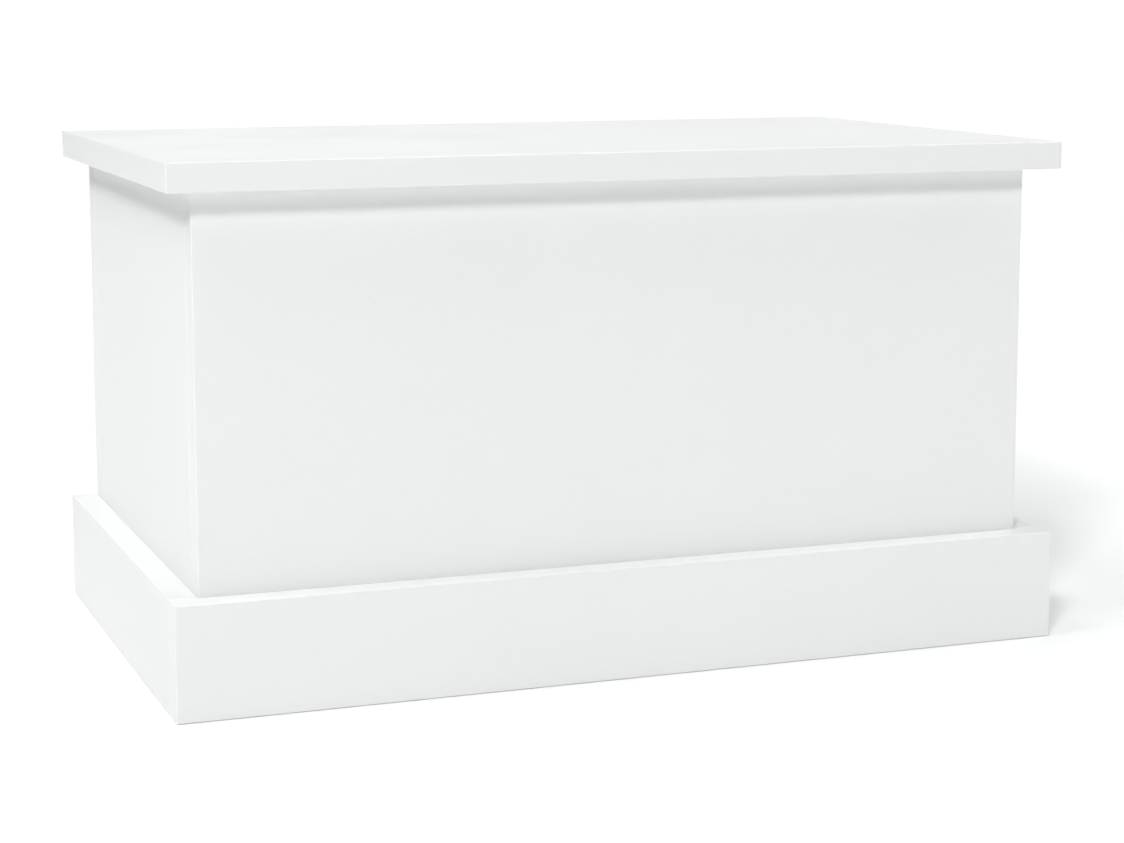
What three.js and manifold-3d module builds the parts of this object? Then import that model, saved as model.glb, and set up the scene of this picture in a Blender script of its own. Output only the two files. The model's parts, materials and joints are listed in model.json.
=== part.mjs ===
// A white laminated-board toy chest: a panel body on a three-sided plinth, with an overhanging lid on
// two butt hinges and a slotted lid stay inside the right-hand wall.
//
// Millimetres, +Z up, -Y is the front, +X is the right-hand side seen from the front. The origin is on
// the floor under the middle of the chest, hinge knuckles included.

import * as THREE from 'three';
import { mergeVertices } from 'three/addons/utils/BufferGeometryUtils.js';
import { RoundedBoxGeometry } from 'three/addons/geometries/RoundedBoxGeometry.js';
import Module from 'manifold-3d';

const wasm = await Module();
wasm.setup();

// ---------------------------------------------------------------- driving dimensions

// Whole chest: the lid and the plinth share one footprint.
const WIDTH = 500;
const DEPTH = 300;
const HEIGHT = 280;

// Boards
const BOARD = 15;
const ARRIS = 1.2;
const ARRIS_STEPS = 1;
const PLINTH_HEIGHT = 60;
const BOTTOM_HEIGHT = 30; // floor to the underside of the bottom panel

// Clearances
const JOINT = 0.3; // between boards that meet
const SEAT = 0.3; // between hardware and the face that it is fastened to
const FIT = 0.3; // round a screw, dowel, bolt or pin in its hole
const RUN = 0.3; // between pieces that move past each other

// Butt hinges
const HINGE_LENGTH = 50;
const HINGE_INSET = 75; // end of the lid to the near end of the hinge
const LEAF = 0.8;
const LEAF_WIDTH = 13.5; // from the chest's rear face inwards
const LEAF_CORNER = 2;
const KNUCKLES = 5;
const KNUCKLE_RADIUS = 2.5;
const PIN_RADIUS = 1.2;
const PIN_HEAD = 0.8;
const HINGE_SCREW_SPACING = 30;

// Lid stay
const STAY_CIRCLE = 90; // stud and pivot both lie on this radius about the hinge axis
const STUD_ANGLE = 30; // degrees below the horizontal through the hinge axis
const PIVOT_ANGLE = 8;
const LID_OPENING = 100; // degrees
const STAY_SHEET = 1.5;
const STAY_SLIDE_GAP = 0.6; // side plate to arm
const ARM_WIDTH = 14;
const STUD_RADIUS = 2.5;
const STUD_HEAD_RADIUS = 4.6;
const STUD_HEAD = 1.5;
const RIVET_RADIUS = 2.5;
const RIVET_HEAD_RADIUS = 4;
const RIVET_HEAD = 1;
const PLATE_LENGTH = 50;
const PLATE_WIDTH = 16;
const PLATE_SCREW_SPACING = 34;
const BRACKET_LENGTH = 44;
const BRACKET_FLANGE = 18;
const BRACKET_TAB_WIDTH = 16;
const BRACKET_SCREW_SPACING = 28;
const BRACKET_CORNER = 3;

// Lid bumpers
const BUMPER_RADIUS = 4;
const BUMPER_HEIGHT = 1.9;
const BUMPER_PROUD = 0.3; // above the front panel, in whose top edge it is sunk
const BUMPER_INSET = 20; // from the end of the front panel
const BUMPER_CREST = 0.5;

// Cam joints at the front corners
const CAM_INSET = 36; // above the bottom panel, and below the panels' top edge
const CAM_RADIUS = 7.3;
const CAM_FLOOR = 0.8; // left under the bolt's bore
const CAM_REACH = 24; // front panel's inner face to the cam's centre
const CAM_DRIVE = [9, 2, 2.5]; // length, width and depth of the screwdriver cross
const BOLT_BORE_RADIUS = 4;
const BOLT_THREAD_RADIUS = 2.9;
const BOLT_THREAD_LENGTH = 10;
const BOLT_COLLAR_RADIUS = 3.6;
const BOLT_COLLAR = 1.5;
const BOLT_SHAFT_RADIUS = 2.5;
const BOLT_NECK_RADIUS = 1.8;
const BOLT_NECK_LENGTH = 4;
const BOLT_HEAD_RADIUS = 3.3;
const BOLT_HEAD_LENGTH = 3;

// Dowels at the front corners
const DOWEL_INSET = 80; // above the bottom panel, and below the panels' top edge
const DOWEL_RADIUS = 4;
const DOWEL_IN_FRONT = 10;
const DOWEL_IN_SIDE = 20;
const DOWEL_CHAMFER = 1;

// Screws: the head is countersunk flush, and its drive is a cross or a hexagon socket.
const SMALL_SCREW = {
  headRadius: 2.8,
  headHeight: 1.4,
  shankRadius: 1.5,
  length: 12,
  tip: 3,
  drive: { kind: 'cross', size: 2.8, width: 0.6, depth: 0.8 },
};
const PLINTH_SCREW = {
  headRadius: 4,
  headHeight: 2.4,
  shankRadius: 2,
  length: 25,
  tip: 4,
  drive: { kind: 'cross', size: 4.2, width: 0.9, depth: 1.4 },
};
const PANEL_SCREW = {
  headRadius: 4.8,
  headHeight: 3,
  shankRadius: 3.2,
  shankLength: 14,
  threadRadius: 2.4,
  length: 45,
  tip: 3,
  drive: { kind: 'socket', size: 4, depth: 2.6 },
};
const REAR_SCREW_INSET = 50; // above the bottom panel, and below the panels' top edge
const BOTTOM_SCREW_INSET = 50; // from the panel's front and rear edges
const PLINTH_SCREW_HEIGHT = 15;
const FRONT_PLINTH_SCREW_INSET = 85; // from the front panel's ends
const SIDE_PLINTH_SCREW_INSET = 60; // from the side panel's front and rear edges

// Facets round hardware
const FACETS = 16;
const SMALL_FACETS = 12;
const CUT_MARGIN = 1; // how far a cutting shape runs past the face that it enters

// ---------------------------------------------------------------- places that follow from them

const OVERHANG = BOARD + JOINT;
const REAR = DEPTH / 2 - KNUCKLE_RADIUS;
const LID_FRONT = REAR - DEPTH;
const LID_GAP = 2 * LEAF + 2 * SEAT + RUN;
const LID_BOTTOM = HEIGHT - BOARD;
// The back panel is lower than the front and sides, to leave room for the hinges on its top edge.
const BODY_TOP = LID_BOTTOM - LID_GAP;
const RIM_TOP = LID_BOTTOM - RUN - BUMPER_PROUD;
const BUMPER_BASE = LID_BOTTOM - RUN - BUMPER_HEIGHT;
const BODY_HALF = WIDTH / 2 - OVERHANG;
const BODY_FRONT = LID_FRONT + OVERHANG;
const INNER_HALF = BODY_HALF - BOARD;
const INNER_FRONT = BODY_FRONT + BOARD;
const INNER_REAR = REAR - BOARD;
const SIDE_FRONT = INNER_FRONT + JOINT;
const SIDE_REAR = INNER_REAR - JOINT;
const HINGE_Y = REAR + KNUCKLE_RADIUS;
const HINGE_Z = BODY_TOP + LID_GAP / 2;
const HINGE_X = WIDTH / 2 - HINGE_INSET - HINGE_LENGTH / 2;
const SCREW_LINE_Y = REAR - BOARD / 2;
const BOTTOM_TOP = BOTTOM_HEIGHT + BOARD;
const CAM_DEPTH = BOARD / 2 + BOLT_BORE_RADIUS + CAM_FLOOR;

const radians = THREE.MathUtils.degToRad;

/** A point on the stay's circle, at an angle below the horizontal that runs forward from the hinge. */
function onStayCircle(degreesBelow) {
  return {
    y: HINGE_Y - STAY_CIRCLE * Math.cos(radians(degreesBelow)),
    z: HINGE_Z - STAY_CIRCLE * Math.sin(radians(degreesBelow)),
  };
}

const STUD = onStayCircle(STUD_ANGLE);
const PIVOT = onStayCircle(PIVOT_ANGLE);

/** Distance from the stay's pivot to its stud with the lid open by an angle. */
function stayReach(opening) {
  return 2 * STAY_CIRCLE * Math.sin(radians((STUD_ANGLE - PIVOT_ANGLE + opening) / 2));
}

// The stay's layers, from the right-hand wall inwards
const PLATE_OUTER_X = INNER_HALF - SEAT;
const PLATE_INNER_X = PLATE_OUTER_X - STAY_SHEET;
const ARM_OUTER_X = PLATE_INNER_X - STAY_SLIDE_GAP;
const ARM_INNER_X = ARM_OUTER_X - STAY_SHEET;
const BRACKET_OUTER_X = ARM_INNER_X - RUN;
const BRACKET_INNER_X = BRACKET_OUTER_X - STAY_SHEET;

// ---------------------------------------------------------------- materials

function finish(color, roughness, metalness = 0) {
  return { color, roughness, metalness };
}

const LAMINATE = finish(0xf1f3f2, 0.45);
const NICKEL = finish(0xc9c6bf, 0.28, 1);
const ZINC = finish(0xb4b6b8, 0.42, 1);
const BEECH = finish(0xd8b98c, 0.7);
const SOFT_PLASTIC = finish(0xe3e6e4, 0.55);

// ---------------------------------------------------------------- solids

/** A closed three.js geometry as a solid, for joins and cuts. */
function solid(geometry) {
  const bare = geometry.clone();
  bare.deleteAttribute('normal');
  bare.deleteAttribute('uv');
  const merged = mergeVertices(bare, 1e-4);
  const corners = [];
  for (let i = 0; i < merged.index.count; i += 3) {
    const [a, b, c] = [0, 1, 2].map((k) => merged.index.getX(i + k));
    if (a !== b && b !== c && c !== a) corners.push(a, b, c);
  }
  return new wasm.Manifold(
    new wasm.Mesh({
      numProp: 3,
      vertProperties: new Float32Array(merged.attributes.position.array),
      triVerts: new Uint32Array(corners),
    }),
  );
}

/** A solid as a three.js geometry. */
function geometryOf(body) {
  const mesh = body.getMesh();
  const geometry = new THREE.BufferGeometry();
  geometry.setAttribute('position', new THREE.BufferAttribute(mesh.vertProperties, 3));
  geometry.setIndex(new THREE.BufferAttribute(mesh.triVerts, 1));
  geometry.computeVertexNormals();
  return geometry;
}

function cut(body, ...tools) {
  return tools.reduce((left, tool) => left.subtract(tool), body);
}

function join(first, ...others) {
  return others.reduce((whole, other) => whole.add(other), first);
}

/** A block between two corners. */
function block(x0, x1, y0, y1, z0, z1) {
  const geometry = new THREE.BoxGeometry(x1 - x0, y1 - y0, z1 - z0);
  return solid(geometry.translate((x0 + x1) / 2, (y0 + y1) / 2, (z0 + z1) / 2));
}

/** A board between two corners, with its arrises rounded. */
function board(x0, x1, y0, y1, z0, z1) {
  const geometry = new RoundedBoxGeometry(x1 - x0, y1 - y0, z1 - z0, ARRIS_STEPS, ARRIS);
  return solid(geometry.translate((x0 + x1) / 2, (y0 + y1) / 2, (z0 + z1) / 2));
}

/** A solid turned about Z from (radius, height) points that start and end on the axis, going down. */
function turned(points, facets = FACETS) {
  const profile = points.map(([radius, height]) => new THREE.Vector2(radius, height)).reverse();
  return new THREE.LatheGeometry(profile, facets).rotateX(Math.PI / 2);
}

/** A round bar about Z from one height down to another. */
function bar(radius, top, bottom, facets = FACETS) {
  return turned([[0, top], [radius, top], [radius, bottom], [0, bottom]], facets);
}

/** The place of a piece of hardware: its own origin goes to a point, and its -Z turns to a direction. */
function placement(at, into) {
  const turn = new THREE.Quaternion().setFromUnitVectors(new THREE.Vector3(0, 0, -1), into);
  return new THREE.Matrix4().compose(at, turn, new THREE.Vector3(1, 1, 1));
}

function placed(geometry, { at, into }) {
  return geometry.clone().applyMatrix4(placement(at, into));
}

function point(x, y, z) {
  return new THREE.Vector3(x, y, z);
}

const TO_LEFT = point(-1, 0, 0);
const TO_RIGHT = point(1, 0, 0);
const TO_FRONT = point(0, -1, 0);
const UP = point(0, 0, 1);
const DOWN = point(0, 0, -1);

/** An outline in the Y-Z plane, thickened along X from one face to the other. */
function sheetAcrossX(shape, inner, outer) {
  const geometry = new THREE.ExtrudeGeometry(shape, {
    depth: outer - inner,
    bevelEnabled: false,
    curveSegments: SMALL_FACETS / 2,
  });
  // Shape x becomes Y, shape y becomes Z, and the thickness becomes X.
  const axes = new THREE.Matrix4().makeBasis(point(0, 1, 0), point(0, 0, 1), point(1, 0, 0));
  return solid(geometry.applyMatrix4(axes).translate(inner, 0, 0));
}

/** An outline in the X-Y plane, thickened along Z. */
function sheetAcrossZ(shape, bottom, top) {
  const geometry = new THREE.ExtrudeGeometry(shape, {
    depth: top - bottom,
    bevelEnabled: false,
    curveSegments: SMALL_FACETS / 4,
  });
  return solid(geometry.translate(0, 0, bottom));
}

/** A bar outline with round ends, from one centre to another. */
function roundEnded(from, to, radius) {
  const along = Math.atan2(to[1] - from[1], to[0] - from[0]);
  const shape = new THREE.Shape();
  shape.absarc(from[0], from[1], radius, along + Math.PI / 2, along + (3 * Math.PI) / 2, false);
  shape.absarc(to[0], to[1], radius, along - Math.PI / 2, along + Math.PI / 2, false);
  shape.closePath();
  return shape;
}

/** A rectangle with round corners. */
function roundedRectangle(x0, x1, y0, y1, radius) {
  const shape = new THREE.Shape();
  shape.absarc(x1 - radius, y1 - radius, radius, 0, Math.PI / 2, false);
  shape.absarc(x0 + radius, y1 - radius, radius, Math.PI / 2, Math.PI, false);
  shape.absarc(x0 + radius, y0 + radius, radius, Math.PI, (3 * Math.PI) / 2, false);
  shape.absarc(x1 - radius, y0 + radius, radius, (3 * Math.PI) / 2, 2 * Math.PI, false);
  shape.closePath();
  return shape;
}

// ---------------------------------------------------------------- screws, dowels and cam fittings

/** A screw's outline as (radius, height) points, grown by a clearance. */
function screwProfile(screw, clearance = 0) {
  const shank = screw.shankRadius + clearance;
  const thread = (screw.threadRadius ?? screw.shankRadius) + clearance;
  const step = screw.shankLength ?? screw.length / 2;
  const points = [[0, 0], [screw.headRadius + clearance, 0], [shank, -screw.headHeight - clearance]];
  if (thread !== shank) points.push([shank, -step], [thread, -step - (shank - thread)]);
  points.push([thread, screw.tip - screw.length], [0, -screw.length - clearance]);
  return points;
}

/** The recess for the driver, from the head's face down. */
function driveCutters({ kind, size, width, depth }) {
  if (kind === 'socket') {
    const socket = new THREE.CylinderGeometry(size / 2, size / 2, depth + CUT_MARGIN, 6);
    return [solid(socket.rotateX(Math.PI / 2).translate(0, 0, (CUT_MARGIN - depth) / 2))];
  }
  const [half, side] = [size / 2, width / 2];
  return [
    block(-half, half, -side, side, -depth, CUT_MARGIN),
    block(-side, side, -half, half, -depth, CUT_MARGIN),
  ];
}

function screwGeometry(screw) {
  return geometryOf(cut(solid(turned(screwProfile(screw), SMALL_FACETS)), ...driveCutters(screw.drive)));
}

/** What a screw takes out of the boards and plates that it goes through. */
function screwHole(screw, place) {
  const mouth = screw.headRadius + FIT;
  const [, ...rest] = screwProfile(screw, FIT);
  return solid(placed(turned([[0, CUT_MARGIN], [mouth, CUT_MARGIN], ...rest], SMALL_FACETS), place));
}

function dowelGeometry() {
  const narrow = DOWEL_RADIUS - DOWEL_CHAMFER;
  const [back, front] = [DOWEL_IN_SIDE, -DOWEL_IN_FRONT];
  return turned([
    [0, back],
    [narrow, back],
    [DOWEL_RADIUS, back - DOWEL_CHAMFER],
    [DOWEL_RADIUS, front + DOWEL_CHAMFER],
    [narrow, front],
    [0, front],
  ]);
}

function dowelHole(place) {
  const geometry = bar(DOWEL_RADIUS + FIT, DOWEL_IN_SIDE + FIT, -DOWEL_IN_FRONT - FIT);
  return solid(placed(geometry, place));
}

/** The bolt's origin is on the front panel's inner face, its thread runs down and its head is up. */
function camBoltGeometry() {
  const headEnd = CAM_REACH + BOLT_HEAD_LENGTH / 2;
  const neckTop = headEnd - BOLT_HEAD_LENGTH;
  const neckBottom = neckTop - BOLT_NECK_LENGTH;
  const collarTop = SEAT + BOLT_COLLAR;
  return turned([
    [0, headEnd],
    [BOLT_HEAD_RADIUS, headEnd],
    [BOLT_HEAD_RADIUS, neckTop],
    [BOLT_NECK_RADIUS, neckTop],
    [BOLT_NECK_RADIUS, neckBottom],
    [BOLT_SHAFT_RADIUS, neckBottom],
    [BOLT_SHAFT_RADIUS, collarTop],
    [BOLT_COLLAR_RADIUS, collarTop],
    [BOLT_COLLAR_RADIUS, SEAT],
    [BOLT_THREAD_RADIUS, SEAT],
    [BOLT_THREAD_RADIUS, -BOLT_THREAD_LENGTH],
    [0, -BOLT_THREAD_LENGTH],
  ], SMALL_FACETS);
}

/** The bore for the bolt's shaft and head, from the front panel into the cam. */
function boltBore(place) {
  const end = CAM_REACH + BOLT_HEAD_LENGTH / 2 + FIT;
  return solid(placed(bar(BOLT_BORE_RADIUS, end, 0), place));
}

function boltThreadHole(place) {
  const hole = bar(BOLT_THREAD_RADIUS + FIT, CUT_MARGIN, -BOLT_THREAD_LENGTH - FIT, SMALL_FACETS);
  return solid(placed(hole, place));
}

/** A cam sunk into a side panel's inner face, with a cross for the driver and a mouth for its bolt. */
function camGeometry(camPlace, boltPlace) {
  const [length, width, depth] = CAM_DRIVE;
  const cross = driveCutters({ kind: 'cross', size: length, width, depth });
  const drum = cut(solid(bar(CAM_RADIUS, 0, -CAM_DEPTH)), ...cross);
  const inPlace = solid(placed(geometryOf(drum), camPlace));
  return geometryOf(cut(inPlace, boltBore(boltPlace)));
}

function camHole(place) {
  return solid(placed(bar(CAM_RADIUS + FIT, CUT_MARGIN, -CAM_DEPTH - FIT), place));
}

/** The blind hole that a lid bumper is pressed into. */
function bumperPocket(place) {
  return solid(placed(bar(BUMPER_RADIUS + FIT, BUMPER_HEIGHT + CUT_MARGIN, -SEAT), place));
}

// ---------------------------------------------------------------- where the hardware goes

const SIDES = [
  { side: 'left', sign: -1, outwards: TO_LEFT, inwards: TO_RIGHT },
  { side: 'right', sign: 1, outwards: TO_RIGHT, inwards: TO_LEFT },
];
const ENDS = ['front', 'rear'];
const sideMiddle = INNER_HALF + BOARD / 2;

/** The lower and the upper one of a pair of fittings, set in by the same distance from both ends. */
function levels(inset) {
  return [
    { level: 'lower', height: BOTTOM_TOP + inset },
    { level: 'upper', height: BODY_TOP - inset },
  ];
}

const rearScrews = SIDES.flatMap(({ side, sign }) =>
  levels(REAR_SCREW_INSET).map(({ level, height }) => ({
    name: `rear_screw_${side}_${level}`,
    cuts: ['back_panel', `${side}_side_panel`],
    at: point(sign * sideMiddle, REAR, height),
    into: TO_FRONT,
  })),
);

const bottomScrews = SIDES.flatMap(({ side, sign, inwards }) =>
  ENDS.map((end) => ({
    name: `bottom_screw_${side}_${end}`,
    cuts: [`${side}_side_panel`, 'bottom_panel'],
    at: point(
      sign * BODY_HALF,
      end === 'front' ? SIDE_FRONT + BOTTOM_SCREW_INSET : SIDE_REAR - BOTTOM_SCREW_INSET,
      BOTTOM_HEIGHT + BOARD / 2,
    ),
    into: inwards,
  })),
);

const plinthScrews = SIDES.flatMap(({ side, sign, outwards }) => [
  {
    name: `plinth_screw_front_${side}`,
    cuts: ['front_panel', 'front_plinth'],
    at: point(sign * (BODY_HALF - FRONT_PLINTH_SCREW_INSET), INNER_FRONT, PLINTH_SCREW_HEIGHT),
    into: TO_FRONT,
  },
  ...ENDS.map((end) => ({
    name: `plinth_screw_${side}_${end}`,
    cuts: [`${side}_side_panel`, `${side}_plinth`],
    at: point(
      sign * INNER_HALF,
      end === 'front' ? SIDE_FRONT + SIDE_PLINTH_SCREW_INSET : SIDE_REAR - SIDE_PLINTH_SCREW_INSET,
      PLINTH_SCREW_HEIGHT,
    ),
    into: outwards,
  })),
]);

const dowels = SIDES.flatMap(({ side, sign }) =>
  levels(DOWEL_INSET).map(({ level, height }) => ({
    name: `corner_dowel_${side}_${level}`,
    cuts: ['front_panel', `${side}_side_panel`],
    at: point(sign * sideMiddle, INNER_FRONT, height),
    into: TO_FRONT,
  })),
);

const camJoints = SIDES.flatMap(({ side, sign, outwards }) =>
  levels(CAM_INSET).map(({ level, height }) => ({
    place: `${side}_${level}`,
    panel: `${side}_side_panel`,
    cam: { at: point(sign * INNER_HALF, INNER_FRONT + CAM_REACH, height), into: outwards },
    bolt: { at: point(sign * sideMiddle, INNER_FRONT, height), into: TO_FRONT },
  })),
);

const bumpers = SIDES.map(({ side, sign }) => ({
  name: `${side}_lid_bumper`,
  at: point(sign * (BODY_HALF - BUMPER_INSET), BODY_FRONT + BOARD / 2, BUMPER_BASE),
  into: DOWN,
}));

const leafFace = { body: BODY_TOP + SEAT + LEAF, lid: LID_BOTTOM - SEAT - LEAF };

const hingeScrews = SIDES.flatMap(({ side, sign }) =>
  ['lid', 'body'].flatMap((leaf) =>
    [-1, 1].map((step) => ({
      name: `hinge_screw_${side}_${leaf}_${step < 0 ? 'a' : 'b'}`,
      cuts: [leaf === 'lid' ? 'lid_panel' : 'back_panel', `${side}_hinge_${leaf}_leaf`],
      at: point(sign * HINGE_X + (step * HINGE_SCREW_SPACING) / 2, SCREW_LINE_Y, leafFace[leaf]),
      into: leaf === 'lid' ? UP : DOWN,
    })),
  ),
);

const BRACKET_SCREW_X = BRACKET_INNER_X - BRACKET_FLANGE / 2;
const BRACKET_FACE_Z = LID_BOTTOM - SEAT - STAY_SHEET;

const stayScrews = [-1, 1].flatMap((step) => [
  {
    name: `stay_side_screw_${step < 0 ? 'front' : 'rear'}`,
    cuts: ['right_side_panel', 'stay_side_plate'],
    at: point(PLATE_INNER_X, STUD.y + (step * PLATE_SCREW_SPACING) / 2, STUD.z),
    into: TO_RIGHT,
  },
  {
    name: `stay_lid_screw_${step < 0 ? 'front' : 'rear'}`,
    cuts: ['lid_panel', 'stay_lid_bracket'],
    at: point(BRACKET_SCREW_X, PIVOT.y + (step * BRACKET_SCREW_SPACING) / 2, BRACKET_FACE_Z),
    into: UP,
  },
]);

/** Every screw with its kind. */
const screws = [
  ...[...rearScrews, ...bottomScrews].map((place) => ({ ...place, screw: PANEL_SCREW })),
  ...plinthScrews.map((place) => ({ ...place, screw: PLINTH_SCREW })),
  ...[...hingeScrews, ...stayScrews].map((place) => ({ ...place, screw: SMALL_SCREW })),
];

/** Everything that the hardware takes out of one named piece. */
function holesIn(name) {
  const holes = screws.filter(({ cuts }) => cuts.includes(name)).map((s) => screwHole(s.screw, s));
  holes.push(...dowels.filter(({ cuts }) => cuts.includes(name)).map(dowelHole));
  for (const { panel, cam, bolt } of camJoints) {
    if (name === panel) holes.push(camHole(cam), boltBore(bolt));
    if (name === 'front_panel') holes.push(boltThreadHole(bolt));
  }
  if (name === 'front_panel') holes.push(...bumpers.map(bumperPocket));
  return holes;
}

// ---------------------------------------------------------------- assembly

const chest = new THREE.Group();

function add(name, geometry, look, place) {
  const mesh = new THREE.Mesh(geometry, new THREE.MeshStandardMaterial(look));
  mesh.name = name;
  if (place) {
    mesh.position.copy(place.at);
    mesh.quaternion.setFromUnitVectors(new THREE.Vector3(0, 0, -1), place.into);
  }
  chest.add(mesh);
}

function addDrilled(name, body, look) {
  add(name, geometryOf(cut(body, ...holesIn(name))), look);
}

// Boards
const lidFootprint = [-WIDTH / 2, WIDTH / 2, LID_FRONT, REAR];
addDrilled('lid_panel', board(...lidFootprint, LID_BOTTOM, HEIGHT), LAMINATE);
addDrilled('front_panel', board(-BODY_HALF, BODY_HALF, BODY_FRONT, INNER_FRONT, 0, RIM_TOP), LAMINATE);
addDrilled('back_panel', board(-BODY_HALF, BODY_HALF, INNER_REAR, REAR, 0, BODY_TOP), LAMINATE);
addDrilled(
  'bottom_panel',
  board(
    JOINT - INNER_HALF,
    INNER_HALF - JOINT,
    SIDE_FRONT,
    SIDE_REAR,
    BOTTOM_HEIGHT,
    BOTTOM_TOP,
  ),
  LAMINATE,
);
addDrilled(
  'front_plinth',
  board(-WIDTH / 2, WIDTH / 2, LID_FRONT, LID_FRONT + BOARD, 0, PLINTH_HEIGHT),
  LAMINATE,
);
for (const { side, sign } of SIDES) {
  const panelFaces = [sign * INNER_HALF, sign * BODY_HALF].sort((a, b) => a - b);
  const plinthFaces = [(sign * WIDTH) / 2 - sign * BOARD, (sign * WIDTH) / 2].sort((a, b) => a - b);
  addDrilled(`${side}_side_panel`, board(...panelFaces, SIDE_FRONT, SIDE_REAR, 0, RIM_TOP), LAMINATE);
  addDrilled(
    `${side}_plinth`,
    board(...plinthFaces, LID_FRONT + BOARD + JOINT, REAR, 0, PLINTH_HEIGHT),
    LAMINATE,
  );
}

// Screws, dowels and cam fittings
const screwShapes = new Map([PANEL_SCREW, PLINTH_SCREW, SMALL_SCREW].map((s) => [s, screwGeometry(s)]));
for (const place of screws) {
  add(place.name, screwShapes.get(place.screw), place.screw === SMALL_SCREW ? NICKEL : ZINC, place);
}
const dowelShape = geometryOf(solid(dowelGeometry()));
for (const place of dowels) add(place.name, dowelShape, BEECH, place);
const boltShape = geometryOf(solid(camBoltGeometry()));
for (const { place, cam, bolt } of camJoints) {
  add(`cam_lock_${place}`, camGeometry(cam, bolt), ZINC);
  add(`cam_bolt_${place}`, boltShape, ZINC, bolt);
}

// Butt hinges: the body leaf has the odd knuckles and the lid leaf the even ones.
function leafSolid(middle, leaf) {
  const [start, end] = [middle - HINGE_LENGTH / 2, middle + HINGE_LENGTH / 2];
  const bottom = leaf === 'body' ? BODY_TOP + SEAT : LID_BOTTOM - SEAT - LEAF;
  const plate = sheetAcrossZ(
    roundedRectangle(start, end, REAR - LEAF_WIDTH, HINGE_Y, LEAF_CORNER),
    bottom,
    bottom + LEAF,
  );
  const pitch = HINGE_LENGTH / KNUCKLES;
  const own = [];
  const others = [];
  for (let k = 0; k < KNUCKLES; k += 1) {
    const isOwn = (k % 2 === 0) === (leaf === 'body');
    const from = start + k * pitch + (k === 0 ? 0 : RUN / 2);
    const to = start + (k + 1) * pitch - (k === KNUCKLES - 1 ? 0 : RUN / 2);
    if (isOwn) {
      const knuckle = bar(KNUCKLE_RADIUS, 0, from - to);
      own.push(solid(placed(knuckle, { at: point(from, HINGE_Y, HINGE_Z), into: TO_RIGHT })));
    } else {
      const [low, high] = [start + k * pitch - RUN / 2, start + (k + 1) * pitch + RUN / 2];
      others.push(
        block(low, high, REAR - RUN, HINGE_Y + CUT_MARGIN, bottom - CUT_MARGIN, bottom + LEAF + CUT_MARGIN),
      );
    }
  }
  const pinHole = placed(bar(PIN_RADIUS + FIT, CUT_MARGIN, -HINGE_LENGTH - CUT_MARGIN, SMALL_FACETS), {
    at: point(start, HINGE_Y, HINGE_Z),
    into: TO_RIGHT,
  });
  return cut(join(cut(plate, ...others), ...own), solid(pinHole));
}

function pinGeometry() {
  const end = -HINGE_LENGTH;
  return turned([
    [0, SEAT + PIN_HEAD],
    [PIN_RADIUS + PIN_HEAD / 2, SEAT + PIN_HEAD / 2],
    [PIN_RADIUS + PIN_HEAD, SEAT],
    [PIN_RADIUS, SEAT],
    [PIN_RADIUS, end - PIN_HEAD / 2],
    [PIN_RADIUS - PIN_HEAD / 2, end - PIN_HEAD],
    [0, end - PIN_HEAD],
  ], SMALL_FACETS);
}

const pinShape = geometryOf(solid(pinGeometry()));
for (const { side, sign } of SIDES) {
  for (const leaf of ['lid', 'body']) {
    addDrilled(`${side}_hinge_${leaf}_leaf`, leafSolid(sign * HINGE_X, leaf), NICKEL);
  }
  add(`${side}_hinge_pin`, pinShape, NICKEL, {
    at: point(sign * HINGE_X - HINGE_LENGTH / 2, HINGE_Y, HINGE_Z),
    into: TO_RIGHT,
  });
}

// Lid stay: the arm turns on the lid bracket's rivet and its slot slides over the stud.
function acrossX(radius, { y, z }, low, high, facets = FACETS) {
  return solid(placed(bar(radius, 0, low - high, facets), { at: point(low, y, z), into: TO_RIGHT }));
}

const plateOutline = roundEnded(
  [STUD.y - (PLATE_LENGTH - PLATE_WIDTH) / 2, STUD.z],
  [STUD.y + (PLATE_LENGTH - PLATE_WIDTH) / 2, STUD.z],
  PLATE_WIDTH / 2,
);
const studHole = acrossX(STUD_RADIUS + FIT, STUD, PLATE_INNER_X - CUT_MARGIN, PLATE_OUTER_X + CUT_MARGIN);
const plateSheet = sheetAcrossX(plateOutline, PLATE_INNER_X, PLATE_OUTER_X);
addDrilled('stay_side_plate', cut(plateSheet, studHole), ZINC);

const studShank = acrossX(STUD_RADIUS, STUD, BRACKET_OUTER_X - STUD_HEAD / 2, PLATE_OUTER_X);
const studHead = acrossX(STUD_HEAD_RADIUS, STUD, BRACKET_OUTER_X - STUD_HEAD, BRACKET_OUTER_X);
add('stay_stud', geometryOf(join(studShank, studHead)), NICKEL);

const towardsStud = { y: (STUD.y - PIVOT.y) / stayReach(0), z: (STUD.z - PIVOT.z) / stayReach(0) };

/** A point on the closed arm's centre line, at a distance from its pivot. */
function alongArm(distance) {
  return [PIVOT.y + towardsStud.y * distance, PIVOT.z + towardsStud.z * distance];
}

const armOutline = roundEnded(alongArm(0), alongArm(stayReach(LID_OPENING)), ARM_WIDTH / 2);
const slotOutline = roundEnded(alongArm(stayReach(0)), alongArm(stayReach(LID_OPENING)), STUD_RADIUS + RUN);
const armSheet = sheetAcrossX(armOutline, ARM_INNER_X, ARM_OUTER_X);
const slot = sheetAcrossX(slotOutline, ARM_INNER_X - CUT_MARGIN, ARM_OUTER_X + CUT_MARGIN);
const armPivotHole = acrossX(RIVET_RADIUS + RUN, PIVOT, ARM_INNER_X - CUT_MARGIN, ARM_OUTER_X + CUT_MARGIN);
add('stay_arm', geometryOf(cut(armSheet, slot, armPivotHole)), ZINC);

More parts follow.
